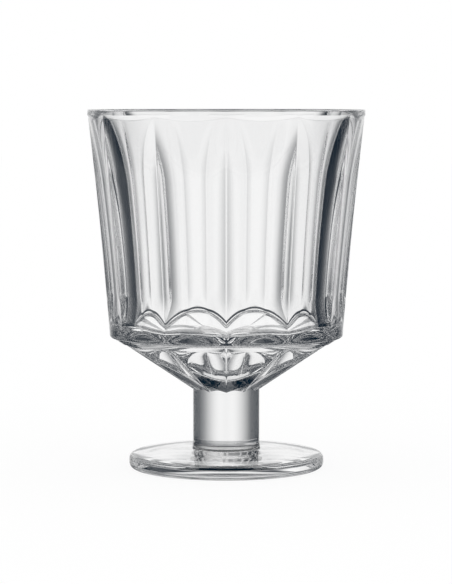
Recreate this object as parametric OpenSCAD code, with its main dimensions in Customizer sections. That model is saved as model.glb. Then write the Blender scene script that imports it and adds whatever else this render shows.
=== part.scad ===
// Parfait glass: a thick pressed bowl with fluted sides and a fluted underside, on a solid
// round stem and a disc foot. The three pieces of glass are fused end to end.
// Millimetres, +Z up, with the origin on the table under the middle of the foot.

/* [Bowl] */
// Outer diameter of the plain rim band
rim_d = 89.6; // [80:0.2:110]
// Thickness of the glass at the lip
lip_w = 4; // [3.4:0.1:5]
// Height of the wall, from the shoulder to the top of the lip
wall_h = 72.8; // [50:0.1:100]
// Diameter across the ridges at the shoulder
shoulder_d = 75.6; // [70:0.2:86]
// How far the ridges bow inwards between the shoulder and the rim band
ridge_bow = 0.4; // [0:0.05:1]
// Height of the fluted underside, from the stem to the shoulder ring
base_h = 17.75; // [12:0.05:30]
// Width of the plain rounded ring between the underside and the shoulder
ring_w = 0.95; // [0.5:0.05:3]
// Height of that ring
ring_h = 0.65; // [0.3:0.05:2]
// Height of the rim band's upright side, lip included
band_h = 1.8; // [1.6:0.1:6]
// How far the rim band stands out from the ridges
band_step = 0.15; // [0.05:0.05:1]
// Slope of the rim band's underside, in degrees
band_slope = 65; // [30:1:70]
// Radius of the lip's two rounded edges
lip_r = 0.9; // [0.5:0.1:1.5]
// Thickness of the glass between the floor's edge and the shoulder
floor_wall = 5.8; // [4:0.1:10]
// Height of the floor above the shoulder
floor_h = 2.3; // [2:0.1:15]
// Radius of the corner between the floor and the wall
floor_round = 1.8; // [0.5:0.1:8]
// How far the inside of the wall bows inwards between the floor and the lip
well_bow = 2.2; // [0:0.1:3]

/* [Flutes] */
// Number of flutes around the bowl
flute_n = 12; // [8:1:20]
// Depth of a flute on the wall, below the ridges
flute_depth = 2.5; // [1:0.05:3]
// Height over which a flute deepens above the shoulder
flute_rise = 16.5; // [8:0.5:30]
// Height over which a flute runs out under the rim band
flute_runout = 20; // [8:0.5:35]
// Depth that is left where a flute runs out under the rim band
flute_end_depth = 0.35; // [0.1:0.05:1]
// Depth that the underside flutes tend to as they widen from the stem to the shoulder ring
groove_depth = 3.4; // [0.5:0.05:4.5]
// Depth of an underside flute where it meets the stem
root_depth = 0.64; // [0.2:0.02:1.2]
// Width of the plain underside between the shoulder ring and the flutes
groove_plain = 2.6; // [0.2:0.1:6]
// Length over which an underside flute deepens from there
groove_run = 6.5; // [1:0.1:12]
// Width of the rounded ridge between two flutes
ridge_w = 0.4; // [0.3:0.1:2]

/* [Stem] */
// Diameter of the stem
stem_d = 21.6; // [14:0.1:30]
// Length of the stem, from the foot to the bowl
stem_h = 18.7; // [8:0.1:60]
// How far the stem flares out at the foot
flare_w = 0.3; // [0.2:0.05:2]
// Height of that flare
flare_h = 2.2; // [1:0.1:6]
// Height of the plain collar of stem below the underside flutes
collar_h = 0.6; // [0.3:0.1:3]

/* [Foot] */
// Diameter of the foot
foot_d = 63.2; // [50:0.2:90]
// Thickness of the foot at its edge
foot_edge_h = 4.6; // [4:0.1:8]
// Rise of the foot's top from its edge to the stem
foot_rise = 1.5; // [0.4:0.1:6]
// Radius of the foot's upper edge
foot_top_round = 1.6; // [0.3:0.1:2.5]
// Radius of the foot's lower edge
foot_bottom_round = 1.8; // [1:0.1:2.9]
// Width of the flat ring that the foot rests on
rest_w = 5; // [3:0.5:10]
// Depth of the shallow hollow inside that ring
hollow_h = 0.5; // [0.2:0.1:1.5]
// Width of the hollow's sloping edge
hollow_edge_w = 4; // [1:0.5:8]

/* [Hidden] */
$fn = 96;

glass_tint = "#e6eef0";
glass_alpha = 0.55;

// Heights of the joints and levels, from the table up
foot_top_z = foot_edge_h + foot_rise;
joint_z = foot_top_z + stem_h;
cusp_z = joint_z + collar_h;
ring_z = joint_z + base_h;
shoulder_z = ring_z + ring_h;
rim_z = shoulder_z + wall_h;
band_z = rim_z - band_h;
crown_z = rim_z - lip_r;
floor_z = shoulder_z + floor_h;

// Radii
rim_r = rim_d / 2;
mouth_r = rim_r - lip_w;
shoulder_r = shoulder_d / 2;
ring_r = shoulder_r - ring_w;
floor_r = shoulder_r - floor_wall;
stem_r = stem_d / 2;
pad_r = stem_r + flare_w;
foot_r = foot_d / 2;

// The fluted body reaches a little way up into the rim band, which covers its top
body_top_z = band_z + band_h / 3;
ridge_h = band_z - shoulder_z;
ridge_top_r = rim_r - band_step;
well_h = crown_z - floor_z;
overlap = 1;
// Share of the well's height over which the lean of its wall at the floor is taken
slight = 0.001;

// Powers of the curves along which a flute ends, under the rim band, at the shoulder and on
// the underside
head_power = 1.5;
toe_power = 1.5;
groove_power = 2;
// Share of the shoulder ring by which its corner is cut back
ring_soft = 0.1;

// Steps around one flute, along the body's outline and along the well's wall
flute_steps = 10;
under_steps = 18;
ring_steps = 3;
wall_steps = 24;
well_steps = 16;

function lerp(a, b, t) = a + (b - a) * t;

// A quadratic curve from a to c that leaves and arrives along the sides of the corner b
function corner(a, b, c, t) = lerp(lerp(a, b, t), lerp(b, c, t), t);

// A parabola that is 0 at t = 0 and t = 1, and deepest halfway
function bow(depth, t) = 4 * depth * t * (1 - t);

// Radius of a ridge on the wall, at a height above the shoulder
function ridge_r(h) =
    let (t = h / ridge_h)
    lerp(shoulder_r, ridge_top_r, t) - bow(ridge_bow, t);

// Depth of a flute on the wall: it starts at nothing on the shoulder and runs out under the band
function wall_depth(h) =
    let (
        head = max(0, (h - ridge_h) / flute_runout + 1),
        toe = max(0, 1 - h / flute_rise),
        head_loss = (flute_depth - flute_end_depth) * pow(head, head_power),
        toe_loss = flute_depth * pow(toe, toe_power)
    )
    flute_depth - head_loss - toe_loss;

// A station along the body's outline is a pair of points, [radius, height] each: one on the
// ridges and one in the middle of the flutes
function wall_station(h) =
    let (r = ridge_r(h), z = shoulder_z + h)
    [[r, z], [r - wall_depth(h), z]];

// The underside, from the stem at t = 0 to the shoulder ring at t = 1. Its flutes are scoops
// that start a little way inside the ring.
function under_station(t) =
    let (
        at = lerp([stem_r, cusp_z], [ring_r, ring_z], t),
        scoop = max(0, min(1, (ring_r - groove_plain - at[0]) / groove_run)),
        depth = lerp(root_depth, groove_depth, t) * (1 - pow(1 - scoop, groove_power))
    )
    [at, at + [0, depth]];

// The shoulder ring, from the underside at t = 0 to the wall at t = 1, is plain and round
function ring_station(t) =
    let (
        edge = [shoulder_r - ring_soft * ring_w, ring_z + ring_soft * ring_h],
        at = corner([ring_r, ring_z], edge, [shoulder_r, shoulder_z], t)
    )
    [at, at];

// Radius of the well's wall, from the floor at t = 0 to the lip at t = 1
function well_r(t) = lerp(floor_r, mouth_r, t) - bow(well_bow, t);

stations = concat(
    [[[stem_r, joint_z], [stem_r, joint_z]]],
    [for (i = [0 : under_steps]) under_station(i / under_steps)],
    [for (i = [1 : ring_steps]) ring_station(i / ring_steps)],
    [for (i = [1 : wall_steps]) wall_station(ridge_h * i / wall_steps)],
    [[[ridge_top_r, body_top_z], [ridge_top_r - flute_end_depth, body_top_z]]]
);

// Height across a flute, from 0 in its middle to 1 on the ridges at u = -1 and u = 1.
// The hollow is a parabola, and a second one rounds the ridge over its share of the way.
function across(u, share) =
    abs(u) < 1 - share ? u * u / (1 - share) : 1 - pow(1 - abs(u), 2) / share;

function body_point(station, flute, u) =
    let (
        pitch = 360 / flute_n,
        share = ridge_w / 2 / (station[0][0] * sin(pitch / 2)),
        at = lerp(station[1], station[0], across(u, share)),
        angle = pitch * (flute + (1 + u) / 2)
    )
    [at[0] * cos(angle), at[0] * sin(angle), at[1]];

// The steps crowd towards the ridges, where the section turns fastest
function flute_u(step) = -cos(180 * step / flute_steps);

// The outside of the bowl below its rim band, lofted through the stations
module fluted_body() {
    columns = flute_n * flute_steps;
    rings = len(stations);
    points = [
        for (s = stations, f = [0 : flute_n - 1], k = [0 : flute_steps - 1])
            body_point(s, f, flute_u(k))
    ];
    bottom = [for (j = [0 : columns - 1]) j];
    top = [for (j = [columns - 1 : -1 : 0]) (rings - 1) * columns + j];
    sides = [
        for (i = [0 : rings - 2], j = [0 : columns - 1])
            let (
                a = i * columns + j,
                b = i * columns + (j + 1) % columns,
                c = a + columns,
                d = b + columns
            )
            each [[a, c, b], [b, c, d]]
    ];
    polyhedron(points, concat([bottom], sides, [top]));
}

// The plain band at the rim, still solid inside
module rim_band() {
    shelf_w = band_step + flute_end_depth + overlap;
    shelf_z = band_z - shelf_w * tan(band_slope);
    rotate_extrude() {
        polygon([
            [0, shelf_z],
            [rim_r - shelf_w, shelf_z],
            [rim_r, band_z],
            [rim_r, crown_z],
            [rim_r - lip_r, rim_z],
            [0, rim_z]
        ]);
        translate([rim_r - lip_r, crown_z]) circle(lip_r);
    }
}

// The space inside the bowl: a bowed well with a rounded corner at its floor and a rounded mouth
module well() {
    lean = atan((well_r(slight) - well_r(0)) / (slight * well_h));
    foot_t = floor_round * (1 - sin(lean)) / well_h;
    hub = [well_r(foot_t) - floor_round * cos(lean), floor_z + floor_round];
    wall = [
        for (i = [0 : well_steps])
            let (t = lerp(foot_t, 1, i / well_steps))
            [well_r(t), floor_z + well_h * t]
    ];
    rotate_extrude() {
        polygon(concat(
            [[0, floor_z], [hub[0], floor_z], hub],
            wall,
            [[mouth_r, rim_z + overlap], [0, rim_z + overlap]]
        ));
        translate(hub) circle(floor_round);
        difference() {
            translate([mouth_r - overlap, crown_z]) square([overlap + lip_r, lip_r + overlap]);
            translate([mouth_r + lip_r, crown_z]) circle(lip_r);
        }
    }
}

module bowl() {
    color(glass_tint, glass_alpha)
        difference() {
            union() {
                fluted_body();
                rim_band();
            }
            well();
        }
}

// The quarter of a disc that rounds an outer edge
module quarter_disc(r) {
    intersection() {
        circle(r);
        square(r);
    }
}

module stem() {
    flare_r = (flare_h * flare_h + flare_w * flare_w) / (2 * flare_w);
    color(glass_tint, glass_alpha)
        translate([0, 0, foot_top_z])
        rotate_extrude() {
            square([stem_r, stem_h]);
            difference() {
                square([pad_r, flare_h]);
                translate([stem_r + flare_r, flare_h]) circle(flare_r);
            }
        }
}

module foot() {
    rest_r = foot_r - foot_bottom_round - rest_w;
    color(glass_tint, glass_alpha)
        rotate_extrude() {
            polygon([
                [0, hollow_h],
                [rest_r - hollow_edge_w, hollow_h],
                [rest_r, 0],
                [foot_r - foot_bottom_round, 0],
                [foot_r, foot_bottom_round],
                [foot_r, foot_edge_h - foot_top_round],
                [foot_r - foot_top_round, foot_edge_h],
                [pad_r, foot_top_z],
                [0, foot_top_z]
            ]);
            translate([foot_r - foot_bottom_round, foot_bottom_round])
                mirror([0, 1]) quarter_disc(foot_bottom_round);
            translate([foot_r - foot_top_round, foot_edge_h - foot_top_round])
                quarter_disc(foot_top_round);
        }
}

bowl();
stem();
foot();
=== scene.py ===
"""A parfait glass in clear pressed glass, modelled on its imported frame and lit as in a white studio."""

import logging
import math
from dataclasses import dataclass
from enum import Enum
from typing import Any

import bmesh
import bpy
import numpy as np
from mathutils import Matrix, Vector


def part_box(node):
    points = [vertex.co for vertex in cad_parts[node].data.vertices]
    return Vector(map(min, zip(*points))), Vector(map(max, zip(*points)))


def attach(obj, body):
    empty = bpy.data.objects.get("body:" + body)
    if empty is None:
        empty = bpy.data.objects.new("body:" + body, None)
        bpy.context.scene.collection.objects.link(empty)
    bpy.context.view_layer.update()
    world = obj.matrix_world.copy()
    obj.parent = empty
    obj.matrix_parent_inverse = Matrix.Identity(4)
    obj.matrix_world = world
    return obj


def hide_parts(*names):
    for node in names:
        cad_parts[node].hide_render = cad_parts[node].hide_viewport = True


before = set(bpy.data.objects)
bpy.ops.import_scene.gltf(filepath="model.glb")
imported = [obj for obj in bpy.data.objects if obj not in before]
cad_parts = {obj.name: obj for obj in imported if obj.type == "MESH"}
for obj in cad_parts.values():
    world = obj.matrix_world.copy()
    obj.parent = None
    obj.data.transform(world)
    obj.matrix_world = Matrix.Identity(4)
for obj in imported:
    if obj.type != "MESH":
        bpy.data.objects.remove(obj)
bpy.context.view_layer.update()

LOG = logging.getLogger("parfait_glass")
BODY = "root"
MM = 0.001
FLUTES = 12
FULL = 1.0

# Angles of an outline's arcs and of the light cards' edges, in degrees
OUTWARDS = 0.0
UPWARDS = 90.0
INWARDS = 180.0
STRAIGHT_DOWN = -90.0

# The sRGB curve: a straight start up to the knee, then a power
BYTE_MAX = 255
SRGB_KNEE = 0.04045
SRGB_SLOPE = 12.92
SRGB_OFFSET = 0.055
SRGB_POWER = 2.4

Point = tuple[float, float]


class Input(Enum):
    """Named inputs of the tree that turns one sector into a whole piece."""

    SECTOR = "Sector"
    COUNT = "Count"
    WELD = "Weld distance"
    GLASS = "Glass"
    SEAM = "Fused seam"


@dataclass(frozen=True)
class Station:
    """One step along a piece's outline, as radius and height in metres.

    Round stretches have the same point on the ridges and in the hollows of the flutes.
    """

    ridge: Point
    hollow: Point
    seam: bool = False

    @classmethod
    def round(cls, radius: float, height: float, seam: bool = False) -> "Station":
        """A station of a plain turned stretch."""
        return cls((radius, height), (radius, height), seam)


def lerp(start: float, end: float, share: float) -> float:
    """The value that lies the given share of the way from start to end."""
    return start + (end - start) * share


def between(start: Point, end: Point, share: float) -> Point:
    """The point that lies the given share of the way from start to end."""
    return (lerp(start[0], end[0], share), lerp(start[1], end[1], share))


def bend(start: Point, corner: Point, end: Point, share: float) -> Point:
    """A point on the curve that rounds a corner between two straight sides."""
    return between(between(start, corner, share), between(corner, end, share), share)


def bow(depth: float, share: float) -> float:
    """A parabola that is 0 at both ends and deepest halfway."""
    peak = 0.25
    return depth * share * (1 - share) / peak


def steps(count: int, first: int = 1) -> list[float]:
    """Even shares of the way, from first / count to 1."""
    return [i / count for i in range(first, count + 1)]


def arc(centre: Point, radius: float, start_deg: float, end_deg: float, count: int) -> list[Point]:
    """Points along a circular arc, both ends included.

    Args:
        centre: Radius and height of the arc's centre.
        radius: Radius of the arc.
        start_deg: Angle of the first point, from outwards towards up.
        end_deg: Angle of the last point.
        count: Number of steps.

    Returns:
        The points in order.
    """
    angles = (math.radians(lerp(start_deg, end_deg, share)) for share in steps(count, 0))
    return [(centre[0] + radius * math.cos(a), centre[1] + radius * math.sin(a)) for a in angles]


def linear(hex_colour: str) -> tuple[float, float, float, float]:
    """Turns an sRGB hex colour to linear.

    Args:
        hex_colour: The colour, written as #rrggbb.

    Returns:
        Linear red, green and blue, and full alpha.
    """
    channels = (int(hex_colour[i : i + 2], 16) / BYTE_MAX for i in (1, 3, 5))
    red, green, blue = (
        c / SRGB_SLOPE if c <= SRGB_KNEE else ((c + SRGB_OFFSET) / (1 + SRGB_OFFSET)) ** SRGB_POWER
        for c in channels
    )
    return (red, green, blue, FULL)


def add(
    tree: bpy.types.NodeTree,
    kind: str,
    links: dict[Any, Any] | None = None,
    **settings: Any,
) -> bpy.types.Node:
    """Adds a node, with its settings and links.

    Args:
        tree: The tree that gets the node.
        kind: Blender's name for the kind of node.
        links: For each input, by name or number, an output socket to link or a value to set.
        settings: Attributes of the node itself.

    Returns:
        The new node.
    """
    node = tree.nodes.new(kind)
    for name, value in settings.items():
        setattr(node, name, value)
    for name, value in (links or {}).items():
        socket = node.inputs[name]
        if isinstance(value, bpy.types.NodeSocket):
            tree.links.new(value, socket)
        else:
            socket.default_value = value
    return node


@dataclass(frozen=True)
class PressedGlass:
    """Clear soda-lime glass, pressed in a mould and fire-polished: smooth, with faint waves."""

    # Fire polish gives the eye a glossy, colourless surface with no haze, and the mould's
    # faint waves make the streaks seen through the wall a little uneven
    name: str = "soda_lime_glass_pressed_fire_polished"
    tint: str = "#ffffff"
    ior: float = 1.52
    roughness: float = 0.0
    wave_mm: float = 9.0
    wave_depth_mm: float = 0.004
    wave_detail: float = 1.0

    def material(self) -> bpy.types.Material:
        """Makes the glass.

        Returns:
            The material, with the mould's waves as a bump.
        """
        material = bpy.data.materials.new(self.name)
        material.use_nodes = True
        tree = material.node_tree
        shader = tree.nodes["Principled BSDF"]
        shader.inputs["Base Color"].default_value = linear(self.tint)
        shader.inputs["IOR"].default_value = self.ior
        shader.inputs["Roughness"].default_value = self.roughness
        shader.inputs["Transmission Weight"].default_value = FULL
        place = add(tree, "ShaderNodeTexCoord")
        wave = add(
            tree,
            "ShaderNodeTexNoise",
            {
                "Vector": place.outputs["Object"],
                "Scale": 1 / (self.wave_mm * MM),
                "Detail": self.wave_detail,
            },
        )
        bump = add(
            tree,
            "ShaderNodeBump",
            {"Height": wave.outputs["Fac"], "Distance": self.wave_depth_mm * MM, "Strength": FULL},
        )
        tree.links.new(bump.outputs["Normal"], shader.inputs["Normal"])
        return material


@dataclass(frozen=True)
class FusedSeam:
    """The face where two pieces of hot glass ran together: light crosses it without bending."""

    # A fused face gives the eye nothing: glass goes on as glass, so no line or glint shows
    name: str = "soda_lime_glass_fused_seam"
    tint: str = "#ffffff"
    ior: float = 1.0
    roughness: float = 0.0

    def material(self) -> bpy.types.Material:
        """Makes the seam.

        Returns:
            The material, which has no optical edge of its own.
        """
        material = bpy.data.materials.new(self.name)
        material.use_nodes = True
        shader = material.node_tree.nodes["Principled BSDF"]
        shader.inputs["Base Color"].default_value = linear(self.tint)
        shader.inputs["IOR"].default_value = self.ior
        shader.inputs["Roughness"].default_value = self.roughness
        shader.inputs["Transmission Weight"].default_value = FULL
        return material


class SectorTurner:
    """The tree that repeats one flute's sector around the axis and welds the copies together."""

    def __init__(self, glass: bpy.types.Material, seam: bpy.types.Material) -> None:
        """Builds the tree.

        Args:
            glass: Material of the piece.
            seam: Material of its fused faces.
        """
        self.glass = glass
        self.seam = seam
        self.tree = bpy.data.node_groups.new("sector_turner", "GeometryNodeTree")
        self._sockets()
        self._nodes()

    def _sockets(self) -> None:
        """Gives the tree its named inputs and its output."""
        kinds = {
            Input.SECTOR: "NodeSocketGeometry",
            Input.COUNT: "NodeSocketInt",
            Input.WELD: "NodeSocketFloat",
            Input.GLASS: "NodeSocketMaterial",
            Input.SEAM: "NodeSocketMaterial",
        }
        for name, kind in kinds.items():
            self.tree.interface.new_socket(name.value, in_out="INPUT", socket_type=kind)
        self.tree.interface.new_socket("Piece", in_out="OUTPUT", socket_type="NodeSocketGeometry")

    def _nodes(self) -> None:
        """Fills the tree: turned copies, one mesh, welded, smooth, with its materials."""
        tree = self.tree
        given = add(tree, "NodeGroupInput").outputs
        share = {0: math.tau, 1: given[Input.COUNT.value]}
        pitch = add(tree, "ShaderNodeMath", share, operation="DIVIDE")
        index = add(tree, "GeometryNodeInputIndex")
        place = {0: index.outputs[0], 1: pitch.outputs[0]}
        angle = add(tree, "ShaderNodeMath", place, operation="MULTIPLY")
        turn = add(tree, "ShaderNodeCombineXYZ", {"Z": angle.outputs[0]})
        rotation = add(tree, "FunctionNodeEulerToRotation", {0: turn.outputs[0]})
        points = add(tree, "GeometryNodePoints", {"Count": given[Input.COUNT.value]})
        copies = add(
            tree,
            "GeometryNodeInstanceOnPoints",
            {
                "Points": points.outputs[0],
                "Instance": given[Input.SECTOR.value],
                "Rotation": rotation.outputs[0],
            },
        )
        real = add(tree, "GeometryNodeRealizeInstances", {0: copies.outputs[0]})
        weld = add(
            tree,
            "GeometryNodeMergeByDistance",
            {"Geometry": real.outputs[0], "Distance": given[Input.WELD.value]},
        )
        smooth = add(tree, "GeometryNodeSetShadeSmooth", {"Geometry": weld.outputs[0]})
        glass = add(
            tree,
            "GeometryNodeSetMaterial",
            {"Geometry": smooth.outputs[0], "Material": given[Input.GLASS.value]},
        )
        is_seam = add(tree, "GeometryNodeInputNamedAttribute", {"Name": "seam"}, data_type="BOOLEAN")
        seam = add(
            tree,
            "GeometryNodeSetMaterial",
            {
                "Geometry": glass.outputs[0],
                "Selection": is_seam.outputs["Attribute"],
                "Material": given[Input.SEAM.value],
            },
        )
        add(tree, "NodeGroupOutput", {0: seam.outputs[0]})

    def turn(self, piece: bpy.types.Object, count: int, weld: float) -> None:
        """Replaces a sector's mesh by the whole piece's.

        Args:
            piece: The object that holds the sector.
            count: Number of sectors around the axis.
            weld: Distance within which the copies' points are joined.
        """
        modifier = piece.modifiers.new("turn", "NODES")
        modifier.node_group = self.tree
        values = {Input.COUNT: count, Input.WELD: weld, Input.GLASS: self.glass, Input.SEAM: self.seam}
        by_name = {item.name: item.identifier for item in self.tree.interface.items_tree}
        for name, value in values.items():
            modifier[by_name[name.value]] = value
        graph = bpy.context.evaluated_depsgraph_get()
        whole = bpy.data.meshes.new_from_object(piece.evaluated_get(graph), depsgraph=graph)
        whole.name = piece.name
        piece.modifiers.remove(modifier)
        sector = piece.data
        piece.data = whole
        bpy.data.meshes.remove(sector)


@dataclass
class GlassPiece:
    """A piece of the glass, made from its outline by turning one sector around the axis."""

    name: str
    node: str
    slot: str
    columns: int = 24
    ridge_width: float = 1.0 * MM
    weld: float = 0.002 * MM
    sliver: float = 0.0002 * MM
    crease_deg: float = 35.0

    def outline(self) -> list[Station]:
        """The stations from the piece's lower pole round its outside to its upper pole."""
        raise NotImplementedError

    def build(self, turner: SectorTurner) -> bpy.types.Object:
        """Builds the piece.

        Args:
            turner: The tree that repeats the sector.

        Returns:
            The finished object, in its place.
        """
        mesh = self._sector()
        piece = bpy.data.objects.new(self.name, mesh)
        bpy.context.scene.collection.objects.link(piece)
        turner.turn(piece, FLUTES, self.weld)
        self._finish(piece.data)
        return piece

    def dress(self, piece: bpy.types.Object) -> None:
        """Puts the piece on the frame in place of its CAD node.

        Args:
            piece: The piece's finished object.
        """
        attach(piece, BODY)
        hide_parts(self.node)
        LOG.info("%s: %d faces", piece.name, len(piece.data.polygons))

    def _across(self, u: np.ndarray, ridge_radius: float) -> np.ndarray:
        """Height across a flute: 0 in its hollow and 1 on the rounded ridges at -1 and 1.

        Args:
            u: Places across the flute.
            ridge_radius: Radius of the ridges at this station.

        Returns:
            The share of the way from the hollow to the ridge at each place.
        """
        half_pitch = ridge_radius * math.sin(math.pi / FLUTES)
        share = min(0.5, self.ridge_width / 2 / max(half_pitch, self.ridge_width))
        hollow = u * u / (1 - share)
        ridge = 1 - (1 - np.abs(u)) ** 2 / share
        return np.where(np.abs(u) < 1 - share, hollow, ridge)

    def _sector(self) -> bpy.types.Mesh:
        """One sector of the piece, from ridge to ridge, with its seam faces marked.

        Returns:
            The sector's mesh.
        """
        stations = self.outline()
        u = -np.cos(np.linspace(0, math.pi, self.columns + 1))
        angle = (1 + u) / 2 * math.tau / FLUTES
        points: list[tuple[float, float, float]] = []
        for station in stations:
            way = self._across(u, station.ridge[0])
            radius = station.hollow[0] + (station.ridge[0] - station.hollow[0]) * way
            height = station.hollow[1] + (station.ridge[1] - station.hollow[1]) * way
            points.extend(zip(radius * np.cos(angle), radius * np.sin(angle), height))
        row = self.columns + 1
        faces = [
            (i * row + j, i * row + j + 1, (i + 1) * row + j + 1, (i + 1) * row + j)
            for i in range(len(stations) - 1)
            for j in range(self.columns)
        ]
        mesh = bpy.data.meshes.new(self.name)
        mesh.from_pydata([tuple(map(float, p)) for p in points], [], faces)
        seams = mesh.attributes.new("seam", "BOOLEAN", "FACE")
        marks = [stations[i].seam for i in range(len(stations) - 1) for _ in range(self.columns)]
        seams.data.foreach_set("value", marks)
        return mesh

    def _finish(self, mesh: bpy.types.Mesh) -> None:
        """Closes the poles, turns the faces outwards and keeps the real creases sharp.

        Args:
            mesh: The whole piece's mesh, which is changed in place.
        """
        work = bmesh.new()
        work.from_mesh(mesh)
        bmesh.ops.remove_doubles(work, verts=work.verts[:], dist=self.weld)
        bmesh.ops.dissolve_degenerate(work, edges=work.edges[:], dist=self.sliver)
        bmesh.ops.recalc_face_normals(work, faces=work.faces[:])
        work.to_mesh(mesh)
        work.free()
        mesh.attributes.remove(mesh.attributes["seam"])
        mesh.set_sharp_from_angle(angle=math.radians(self.crease_deg))


@dataclass
class FlutedBowl(GlassPiece):
    """The bowl: a tapered well in a fluted body with a plain band at the rim."""

    name: str = "bowl_glass"
    node: str = "bowl"
    slot: str = "bowl_glass"
    columns: int = 32
    base_h: float = 17.75 * MM
    ring_w: float = 0.95 * MM
    ring_h: float = 0.65 * MM
    ring_soft: float = 0.1
    shoulder_r: float = 37.8 * MM
    ridge_bow: float = 0.4 * MM
    flute_depth: float = 2.15 * MM
    flute_rise: float = 14.0 * MM
    flute_runout: float = 20.0 * MM
    flute_end_depth: float = 0.35 * MM
    head_power: float = 1.5
    toe_power: float = 1.2
    groove_depth: float = 3.4 * MM
    groove_plain: float = 2.6 * MM
    groove_run: float = 6.5 * MM
    groove_power: float = 2.0
    root_depth: float = 0.64 * MM
    collar: float = 0.6 * MM
    stem_r: float = 10.8 * MM
    band: float = 1.8 * MM
    band_step: float = 0.15 * MM
    band_slope_deg: float = 65.0
    lip_w: float = 4.0 * MM
    lip_r: float = 0.6 * MM
    floor_wall: float = 5.8 * MM
    floor_h: float = 2.3 * MM
    floor_round: float = 1.8 * MM
    well_bow: float = 2.2 * MM
    ridge_width: float = 0.4 * MM
    under_steps: int = 60
    ring_steps: int = 12
    wall_steps: int = 70
    lip_steps: int = 10
    well_steps: int = 40
    corner_steps: int = 12
    floor_steps: int = 6

    def __post_init__(self) -> None:
        """Takes the joint and the rim from the frame, and the levels and radii from the sizes."""
        low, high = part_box(self.node)
        self.joint_z = low.z
        self.ring_z = self.joint_z + self.base_h
        self.shoulder_z = self.ring_z + self.ring_h
        self.floor_z = self.shoulder_z + self.floor_h
        self.rim_z = high.z
        self.crown_z = self.rim_z - self.lip_r
        self.band_z = self.rim_z - self.band
        self.ridge_h = self.band_z - self.shoulder_z
        self.rim_r = high.x
        self.mouth_r = self.rim_r - self.lip_w
        self.ring_r = self.shoulder_r - self.ring_w
        self.floor_r = self.shoulder_r - self.floor_wall

    def ridge_r(self, height: float) -> float:
        """Radius of a ridge on the wall, at a height above the shoulder."""
        share = height / self.ridge_h
        return lerp(self.shoulder_r, self.rim_r - self.band_step, share) - bow(self.ridge_bow, share)

    def depth(self, height: float) -> float:
        """Finds the depth of a flute, which runs out at the shoulder and under the rim band.

        Args:
            height: Height above the shoulder.

        Returns:
            The depth below the ridges.
        """
        head = max(0.0, (height - self.ridge_h) / self.flute_runout + 1)
        toe = max(0.0, 1 - height / self.flute_rise)
        head_loss = (self.flute_depth - self.flute_end_depth) * head**self.head_power
        return self.flute_depth - head_loss - self.flute_depth * toe**self.toe_power

    def wall(self, share: float) -> Station:
        """Places a station on the wall.

        Args:
            share: Share of the way, from the shoulder at 0 to the rim band's underside at 1.

        Returns:
            The station.
        """
        slope = math.tan(math.radians(self.band_slope_deg))
        on_ridge = share * (self.ridge_h - self.band_step * slope)
        in_hollow = share * (self.ridge_h - (self.band_step + self.flute_end_depth) * slope)
        ridge = (self.ridge_r(on_ridge), self.shoulder_z + on_ridge)
        hollow = (self.ridge_r(in_hollow) - self.depth(in_hollow), self.shoulder_z + in_hollow)
        return Station(ridge, hollow)

    def under(self, share: float) -> Station:
        """Places a station on the underside.

        Args:
            share: Share of the way, from the stem at 0 to the shoulder ring at 1.

        Returns:
            The station.
        """
        cusp_z = self.joint_z + self.collar
        radius, height = between((self.stem_r, cusp_z), (self.ring_r, self.ring_z), share)
        inside = self.ring_r - self.groove_plain - radius
        start = min(1.0, max(0.0, 1 - inside / self.groove_run))
        rise = lerp(self.root_depth, self.groove_depth, share) * (1 - start**self.groove_power)
        return Station((radius, height), (radius, height + rise))

    def ring(self, share: float) -> Station:
        """Places a station on the plain ring.

        Args:
            share: Share of the way, from the underside at 0 to the shoulder at 1.

        Returns:
            The station.
        """
        start = (self.ring_r, self.ring_z)
        edge_r = self.shoulder_r - self.ring_soft * self.ring_w
        edge_z = self.ring_z + self.ring_soft * self.ring_h
        end = (self.shoulder_r, self.shoulder_z)
        return Station.round(*bend(start, (edge_r, edge_z), end, share))

    def lip(self) -> list[Station]:
        """Outlines the rim.

        Returns:
            The rim band's side and the rounded lip, from outside to inside.
        """
        outer_centre = (self.rim_r - self.lip_r, self.crown_z)
        inner_centre = (self.mouth_r + self.lip_r, self.crown_z)
        outer = arc(outer_centre, self.lip_r, OUTWARDS, UPWARDS, self.lip_steps)
        inner = arc(inner_centre, self.lip_r, UPWARDS, INWARDS, self.lip_steps)
        return [Station.round(self.rim_r, self.band_z)] + [Station.round(*p) for p in outer + inner]

    def well_r(self, height: float) -> float:
        """Radius of the well's bowed wall at a height."""
        share = (height - self.floor_z) / (self.crown_z - self.floor_z)
        return lerp(self.floor_r, self.mouth_r, share) - bow(self.well_bow, share)

    def well(self) -> list[Station]:
        """Outlines the inside.

        Returns:
            The stations from the lip down the wall and across the floor to the axis.
        """
        slight = 0.01 * MM
        lean = math.atan((self.well_r(self.floor_z + slight) - self.floor_r) / slight)
        foot_z = self.floor_z + self.floor_round * (1 - math.sin(lean))
        centre_r = self.well_r(foot_z) - self.floor_round * math.cos(lean)
        centre = (centre_r, self.floor_z + self.floor_round)
        corner = arc(centre, self.floor_round, -math.degrees(lean), STRAIGHT_DOWN, self.corner_steps)
        heights = [lerp(self.crown_z, foot_z, share) for share in steps(self.well_steps)]
        wall = [(self.well_r(z), z) for z in heights]
        floor = [between(corner[-1], (0.0, self.floor_z), share) for share in steps(self.floor_steps)]
        return [Station.round(*p) for p in wall + corner[1:] + floor]

    def outline(self) -> list[Station]:
        """Outlines the bowl.

        Returns:
            The stations from the joint with the stem round the outside to the floor of the well.
        """
        return [
            Station.round(0.0, self.joint_z, seam=True),
            Station.round(self.stem_r, self.joint_z),
            *(self.under(share) for share in steps(self.under_steps, 0)),
            *(self.ring(share) for share in steps(self.ring_steps)),
            *(self.wall(share) for share in steps(self.wall_steps)),
            *self.lip(),
            *self.well(),
        ]


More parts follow.
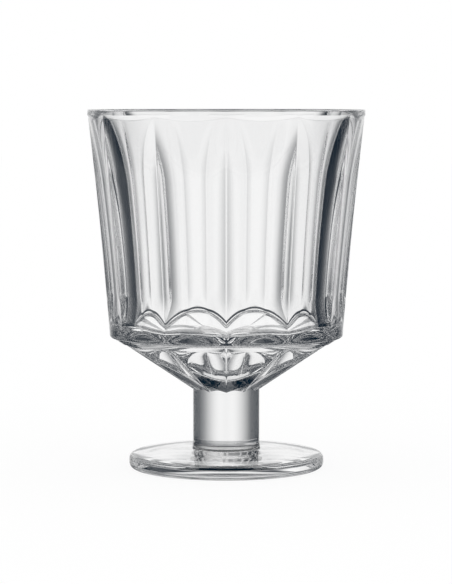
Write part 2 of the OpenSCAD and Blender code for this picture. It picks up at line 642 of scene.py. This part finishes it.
@dataclass
class SolidStem(GlassPiece):
    """The stem: a solid rod that flares a little where it stands on the foot."""

    name: str = "stem_glass"
    node: str = "stem"
    slot: str = "stem_glass"
    flare: float = 0.3 * MM
    flare_h: float = 2.2 * MM
    flare_steps: int = 12
    side_steps: int = 8

    def outline(self) -> list[Station]:
        """Outlines the stem.

        Returns:
            The stations from the joint with the foot to the joint with the bowl.
        """
        low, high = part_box(self.node)
        pad_r = high.x
        stem_r = pad_r - self.flare
        flare_r = (self.flare_h**2 + self.flare**2) / (2 * self.flare)
        sweep = math.degrees(math.asin(self.flare_h / flare_r))
        flare_z = low.z + self.flare_h
        flare = arc((stem_r + flare_r, flare_z), flare_r, INWARDS + sweep, INWARDS, self.flare_steps)
        side = [(stem_r, lerp(flare_z, high.z, share)) for share in steps(self.side_steps)]
        return [
            Station.round(0.0, low.z, seam=True),
            *(Station.round(*p) for p in flare + side[:-1]),
            Station.round(*side[-1], seam=True),
            Station.round(0.0, high.z),
        ]


@dataclass
class DiscFoot(GlassPiece):
    """The foot: a disc with a rounded edge, a rising top and a ring to rest on."""

    name: str = "foot_glass"
    node: str = "foot"
    slot: str = "foot_glass"
    edge: float = 4.6 * MM
    top_round: float = 1.6 * MM
    bottom_round: float = 1.8 * MM
    rest: float = 5.0 * MM
    hollow: float = 0.5 * MM
    hollow_edge: float = 4.0 * MM
    pad_r: float = 11.1 * MM
    bottom_steps: int = 14
    top_steps: int = 8
    crown_steps: int = 16

    def outline(self) -> list[Station]:
        """Outlines the foot.

        Returns:
            The stations from the hollow underneath round the edge to the joint with the stem.
        """
        low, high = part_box(self.node)
        foot_r = high.x
        rest_outer = foot_r - self.bottom_round
        rest_inner = rest_outer - self.rest
        hollow_z = low.z + self.hollow
        bottom_centre = (rest_outer, low.z + self.bottom_round)
        bottom = arc(bottom_centre, self.bottom_round, STRAIGHT_DOWN, OUTWARDS, self.bottom_steps)
        top_centre = (foot_r - self.top_round, low.z + self.edge - self.top_round)
        top = arc(top_centre, self.top_round, OUTWARDS, UPWARDS, self.top_steps)
        crown = [between(top[-1], (self.pad_r, high.z), share) for share in steps(self.crown_steps)]
        return [
            Station.round(0.0, hollow_z),
            Station.round(rest_inner - self.hollow_edge, hollow_z),
            Station.round(rest_inner, low.z),
            *(Station.round(*p) for p in bottom + top + crown[:-1]),
            Station.round(*crown[-1], seam=True),
            Station.round(0.0, high.z),
        ]


@dataclass(frozen=True)
class LightCard:
    """A white card that the glass sees, by its direction from the glass.

    Azimuth runs from the back (+Y) towards the right (+X). The edges are soft.
    """

    azimuth_deg: float
    half_width_deg: float
    soft_deg: float
    bottom_deg: float
    top_deg: float
    level: float = 1.0
    edge_deg: float = 2.0


@dataclass
class Studio:
    """A white studio: a pale floor, soft white surroundings and light cards that the glass sees."""

    frame_px: tuple[int, int] = (452, 584)
    focal_px: float = 2401.0
    aim_x: float = -0.1 * MM
    aim_z: float = 56.95 * MM
    distance: float = 778.0 * MM
    pitch_deg: float = 4.556
    sensor_mm: float = 36.0
    floor_r: float = 4.0
    floor_glow: float = 0.9
    bounces: int = 40
    white: str = "#ffffff"
    dark: str = "#061a28"
    cards: tuple[LightCard, ...] = (
        # The backdrop and its faint skirt, which the walls and the stem show as a white middle
        LightCard(0.0, 22.0, 16.0, -12.0, 20.0, level=0.74),
        LightCard(0.0, 46.0, 24.0, -12.0, 20.0, level=0.18),
        # The table, seen through the foot
        LightCard(0.0, 70.0, 20.0, STRAIGHT_DOWN, -29.0),
        # What stands behind the glass when it is seen from its right, high and level
        LightCard(-45.0, 18.0, 8.0, -38.0, -19.0),
        LightCard(-95.0, 14.0, 9.0, -14.0, 14.0),
        # What stands behind the glass when it is seen from the rear
        LightCard(135.0, 40.0, 15.0, -60.0, 15.0, level=0.9),
        LightCard(-135.0, 38.0, 15.0, -40.0, 15.0, level=0.85),
    )

    def camera(self) -> None:
        """Makes the camera at the photograph's viewing angle."""
        data = bpy.data.cameras.new("camera")
        data.sensor_width = self.sensor_mm
        data.lens = self.focal_px * self.sensor_mm / max(self.frame_px)
        camera = bpy.data.objects.new("camera", data)
        bpy.context.scene.collection.objects.link(camera)
        pitch = math.radians(self.pitch_deg)
        back = Vector((0.0, -math.cos(pitch), math.sin(pitch)))
        camera.location = Vector((self.aim_x, 0.0, self.aim_z)) + back * self.distance
        camera.rotation_euler = (-back).to_track_quat("-Z", "Y").to_euler()
        bpy.context.scene.camera = camera

    def step(self, tree: bpy.types.NodeTree, value: Any, start: float, end: float) -> Any:
        """Adds a soft step from 0 to 1.

        Args:
            tree: The world's tree.
            value: The output that is stepped.
            start: Value where the step starts.
            end: Value where it ends.

        Returns:
            The step's output.
        """
        limits = {"Value": value, "From Min": start, "From Max": end}
        node = add(tree, "ShaderNodeMapRange", limits, interpolation_type="SMOOTHSTEP")
        return node.outputs["Result"]

    def sines(self, elevation_deg: float, edge_deg: float) -> tuple[float, float]:
        """Sines of the elevations just below and just above an edge."""
        low, high = elevation_deg - edge_deg, elevation_deg + edge_deg
        return math.sin(math.radians(low)), math.sin(math.radians(high))

    def card(self, tree: bpy.types.NodeTree, heading: Any, height: Any, card: LightCard) -> Any:
        """Adds one light card to the surroundings.

        Args:
            tree: The world's tree.
            heading: Output that holds the level direction.
            height: Output that holds the sine of the elevation.
            card: The card.

        Returns:
            The output that holds the card's brightness.
        """
        azimuth = math.radians(card.azimuth_deg)
        axis = (math.sin(azimuth), math.cos(azimuth), 0.0)
        near = add(tree, "ShaderNodeVectorMath", {0: heading, 1: axis}, operation="DOT_PRODUCT")
        aside = add(tree, "ShaderNodeMath", {0: near.outputs["Value"]}, operation="ARCCOSINE")
        outer = math.radians(card.half_width_deg + card.soft_deg)
        inner = math.radians(card.half_width_deg - card.soft_deg)
        across = self.step(tree, aside.outputs[0], outer, inner)
        above: Any = FULL
        if card.bottom_deg > STRAIGHT_DOWN:
            above = self.step(tree, height, *self.sines(card.bottom_deg, card.edge_deg))
        top_start, top_end = self.sines(card.top_deg, card.edge_deg)
        below = self.step(tree, height, top_end, top_start)
        window = add(tree, "ShaderNodeMath", {0: above, 1: below}, operation="MULTIPLY")
        shape = add(tree, "ShaderNodeMath", {0: across, 1: window.outputs[0]}, operation="MULTIPLY")
        dimmed = add(tree, "ShaderNodeMath", {0: shape.outputs[0], 1: card.level}, operation="MULTIPLY")
        return dimmed.outputs[0]

    def world(self) -> None:
        """Makes the surroundings: white for the eye, and light cards in the dark for the glass."""
        world = bpy.data.worlds.new("studio")
        bpy.context.scene.world = world
        world.use_nodes = True
        tree = world.node_tree
        tree.nodes.clear()
        ray = add(tree, "ShaderNodeTexCoord").outputs["Generated"]
        level_only = (1.0, 1.0, 0.0)
        level = add(tree, "ShaderNodeVectorMath", {0: ray, 1: level_only}, operation="MULTIPLY")
        heading = add(tree, "ShaderNodeVectorMath", {0: level.outputs[0]}, operation="NORMALIZE")
        height = add(tree, "ShaderNodeSeparateXYZ", {0: ray}).outputs["Z"]
        total: Any = 0.0
        for card in self.cards:
            bright = self.card(tree, heading.outputs[0], height, card)
            both = add(tree, "ShaderNodeMath", {0: total, 1: bright}, operation="ADD", use_clamp=True)
            total = both.outputs[0]
        colours = {"Factor": total, "A": linear(self.dark), "B": linear(self.white)}
        cards = self.mix(tree, colours)
        path = add(tree, "ShaderNodeLightPath").outputs
        by_glass = {0: path["Is Transmission Ray"], 1: path["Is Glossy Ray"]}
        through = add(tree, "ShaderNodeMath", by_glass, operation="MAXIMUM").outputs[0]
        seen = self.mix(tree, {"Factor": through, "A": linear(self.white), "B": cards})
        light = add(tree, "ShaderNodeBackground", {"Color": seen, "Strength": FULL})
        add(tree, "ShaderNodeOutputWorld", {"Surface": light.outputs[0]})

    def mix(self, tree: bpy.types.NodeTree, links: dict[str, Any]) -> Any:
        """Adds a colour mix.

        Args:
            tree: The world's tree.
            links: Factor, A and B.

        Returns:
            The mixed colour's output.
        """
        factor, first_colour, second_colour, mixed_colour = 0, 6, 7, 2
        by_number = {factor: links["Factor"], first_colour: links["A"], second_colour: links["B"]}
        return add(tree, "ShaderNodeMix", by_number, data_type="RGBA").outputs[mixed_colour]

    def floor(self) -> None:
        """Makes the pale floor, which keeps the glass's shadow."""
        mesh = bpy.data.meshes.new("floor")
        r = self.floor_r
        mesh.from_pydata([(-r, -r, 0.0), (r, -r, 0.0), (r, r, 0.0), (-r, r, 0.0)], [], [(0, 1, 2, 3)])
        floor = bpy.data.objects.new("floor", mesh)
        bpy.context.scene.collection.objects.link(floor)
        floor.visible_transmission = False
        floor.visible_glossy = False
        # Matt white card gives the eye an even white without gloss, on which a soft shadow shows
        material = bpy.data.materials.new("white_card_matt")
        material.use_nodes = True
        tree = material.node_tree
        tree.nodes.clear()
        matt = add(tree, "ShaderNodeBsdfDiffuse", {"Color": linear(self.white)})
        glow = add(tree, "ShaderNodeEmission", {"Color": linear(self.white), "Strength": FULL})
        path = add(tree, "ShaderNodeLightPath").outputs
        for_eye = {0: path["Is Camera Ray"], 1: self.floor_glow}
        share = add(tree, "ShaderNodeMath", for_eye, operation="MULTIPLY")
        shaders = {0: share.outputs[0], 1: matt.outputs[0], 2: glow.outputs[0]}
        mix = add(tree, "ShaderNodeMixShader", shaders)
        add(tree, "ShaderNodeOutputMaterial", {"Surface": mix.outputs[0]})
        mesh.materials.append(material)

    def build(self) -> None:
        """Sets up the whole studio."""
        scene = bpy.context.scene
        scene.view_settings.view_transform = "Standard"
        scene.cycles.max_bounces = self.bounces
        scene.cycles.transmission_bounces = self.bounces
        scene.cycles.glossy_bounces = self.bounces
        self.camera()
        self.world()
        self.floor()


def main() -> None:
    """Builds the glass piece by piece, then the studio."""
    logging.basicConfig(level=logging.INFO)
    turner = SectorTurner(PressedGlass().material(), FusedSeam().material())
    for piece in (FlutedBowl(), SolidStem(), DiscFoot()):
        piece.dress(piece.build(turner))
    Studio().build()


if __name__ == "__main__":
    main()
